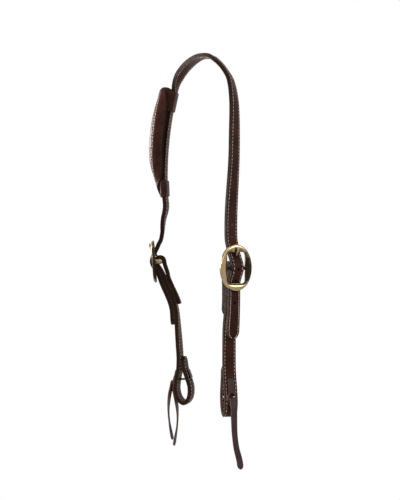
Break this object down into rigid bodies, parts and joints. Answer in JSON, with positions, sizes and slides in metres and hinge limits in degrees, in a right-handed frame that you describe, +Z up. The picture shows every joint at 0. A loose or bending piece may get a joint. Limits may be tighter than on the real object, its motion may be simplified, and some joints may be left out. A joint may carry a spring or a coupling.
{
  "type": "western headstall",
  "caption": "Western headstall with a sliding ear piece: stitched double-ply leather crown buckled to cheek straps by oval brass buckles, looped bit ends closed by laces.",
  "frame": {"origin": "underside of the crown strap at its highest point, where it lies on the horse's poll or on a peg", "axes": "+Z up, +X towards the horse's near (left) side, the horse faces -Y"},
  "size_m": [0.2258, 0.0647, 0.5071],
  "materials": {
    "outer_leather": "dark brown harness leather, lightly waxed, grain side",
    "lining_leather": "dark brown leather lining, more matt than the face",
    "latigo_lace": "oiled lace with reddish raw edges",
    "polished_brass": "pale champagne brass, polished"
  },
  "bodies": {
    "crown": {"crown_outer_ply": "outer_leather", "crown_lining_ply": "lining_leather", "near_buckle_frame": "polished_brass", "near_buckle_bar": "polished_brass", "off_buckle_frame": "polished_brass", "off_buckle_bar": "polished_brass"},
    "ear_piece": {"ear_outer_ply": "outer_leather", "ear_lining_ply": "lining_leather", "ear_upper_loop": "outer_leather", "ear_lower_loop": "outer_leather"},
    "near_tongue": {"near_buckle_tongue": "polished_brass"},
    "off_tongue": {"off_buckle_tongue": "polished_brass"},
    "near_cheek": {"near_cheek_outer_ply": "outer_leather", "near_cheek_lining_ply": "lining_leather", "near_tie_lace": "latigo_lace", "near_tie_tail": "latigo_lace"},
    "off_cheek": {"off_cheek_outer_ply": "outer_leather", "off_cheek_lining_ply": "lining_leather", "off_tie_lace": "latigo_lace", "off_tie_long_tail": "latigo_lace", "off_tie_short_tail": "latigo_lace"}
  },
  "joints": [
    {"name": "ear_slide", "type": "hinge", "parent": "crown", "child": "ear_piece", "pos_m": [0.22045, 0.32171, -0.14436], "axis": [0.7431, -0.6691, 0], "range_deg": [0, 1.27]},
    {"name": "near_tongue_pivot", "type": "hinge", "parent": "crown", "child": "near_tongue", "pos_m": [0.0918, -0.0143, -0.2627], "axis": [-0.0523, 0.9986, 0], "range_deg": [0, 2.5]},
    {"name": "off_tongue_pivot", "type": "hinge", "parent": "crown", "child": "off_tongue", "pos_m": [-0.0926, -0.0129, -0.2563], "axis": [0.866, -0.5, 0], "range_deg": [0, 2.5]},
    {"name": "near_cheek_swing", "type": "hinge", "parent": "crown", "child": "near_cheek", "pos_m": [0.0918, -0.0143, -0.2627], "axis": [-0.0523, 0.9986, 0], "range_deg": [0, 25]},
    {"name": "off_cheek_swing", "type": "hinge", "parent": "crown", "child": "off_cheek", "pos_m": [-0.0926, -0.0129, -0.2563], "axis": [0.866, -0.5, 0], "range_deg": [0, 25]}
  ]
}
